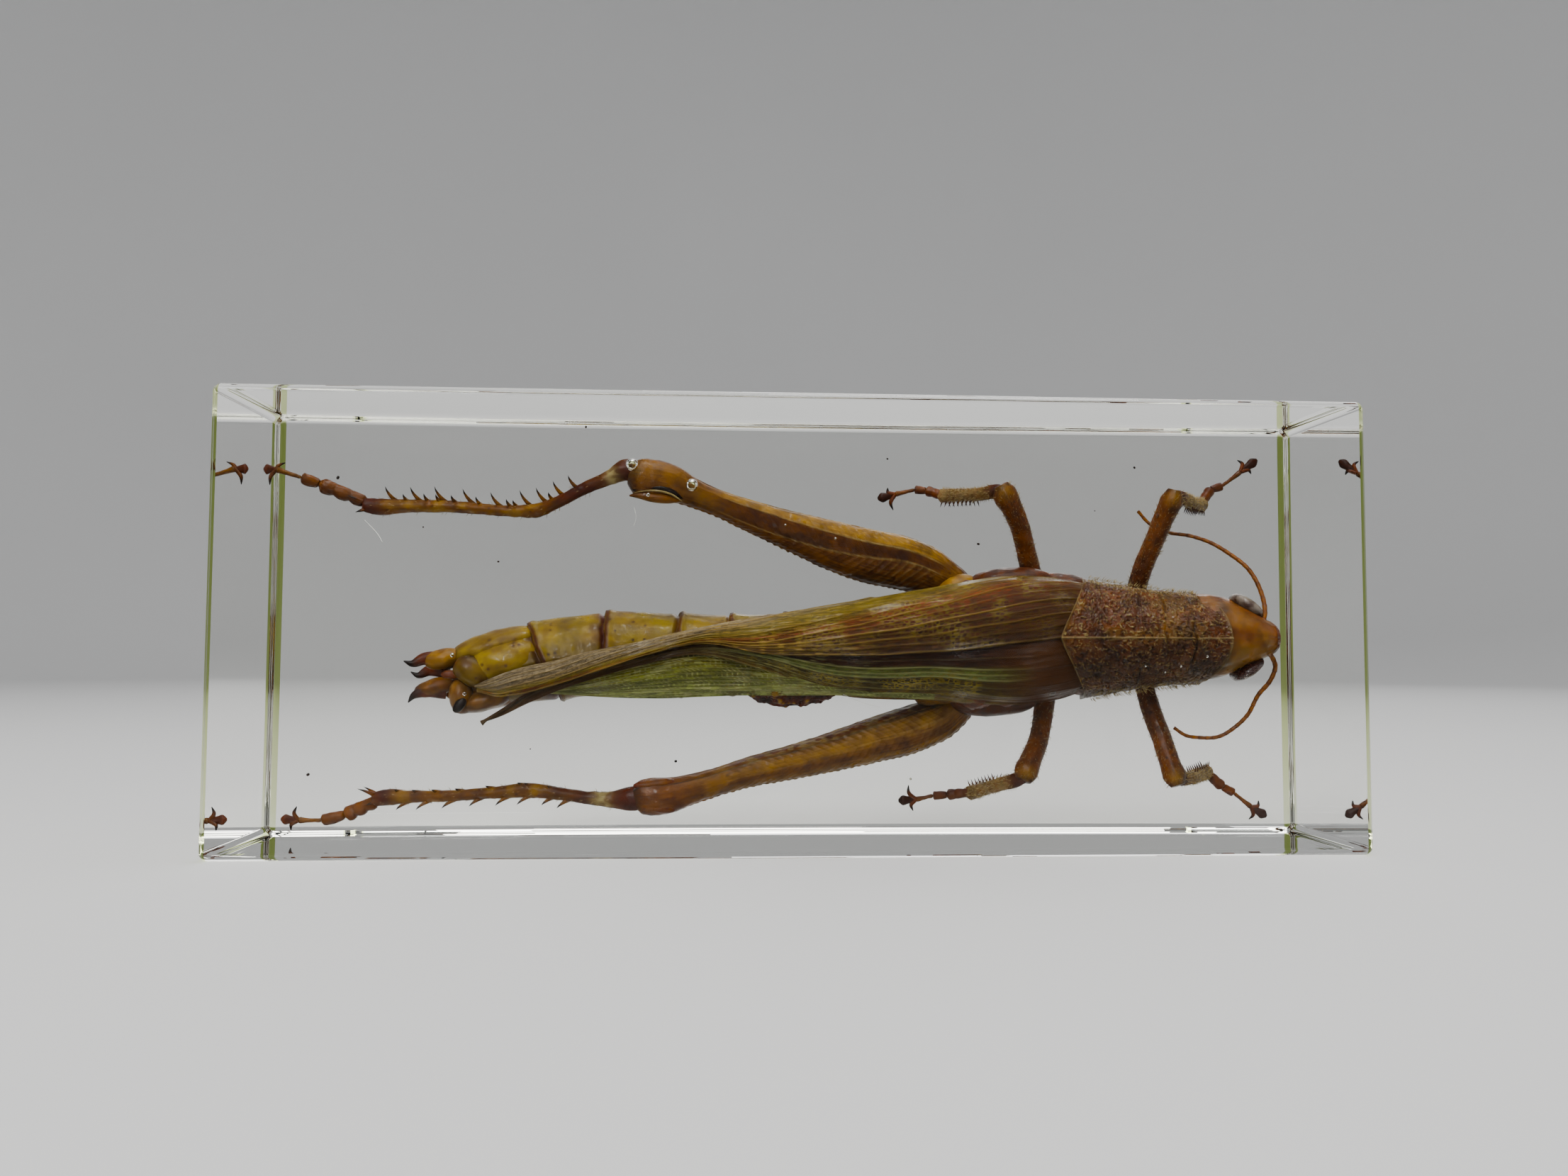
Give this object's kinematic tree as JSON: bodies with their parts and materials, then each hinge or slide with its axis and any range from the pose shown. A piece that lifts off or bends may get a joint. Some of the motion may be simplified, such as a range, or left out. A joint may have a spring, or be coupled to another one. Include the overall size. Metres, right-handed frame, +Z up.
{
  "type": "insect in resin block",
  "caption": "Large dried locust with spread legs, folded wings and antennae, cast in a clear polished resin block that stands on its long narrow face, for display or teaching.",
  "frame": {"origin": "middle of the base, on the surface that the block stands on", "axes": "X along the block's length towards the insect's head, -Y the front face that the insect's back is turned to, Z up towards the insect's left side"},
  "size_m": [0.11, 0.028, 0.044],
  "materials": {
    "clear_resin": "clear cast polyester resin, polished, with a faint green-yellow tint",
    "body_shell": "dried insect shell, brown and amber, half glossy"
  },
  "bodies": {
    "root": {"resin_front": "clear_resin", "resin_back": "clear_resin", "locust": "body_shell"}
  },
  "joints": []
}
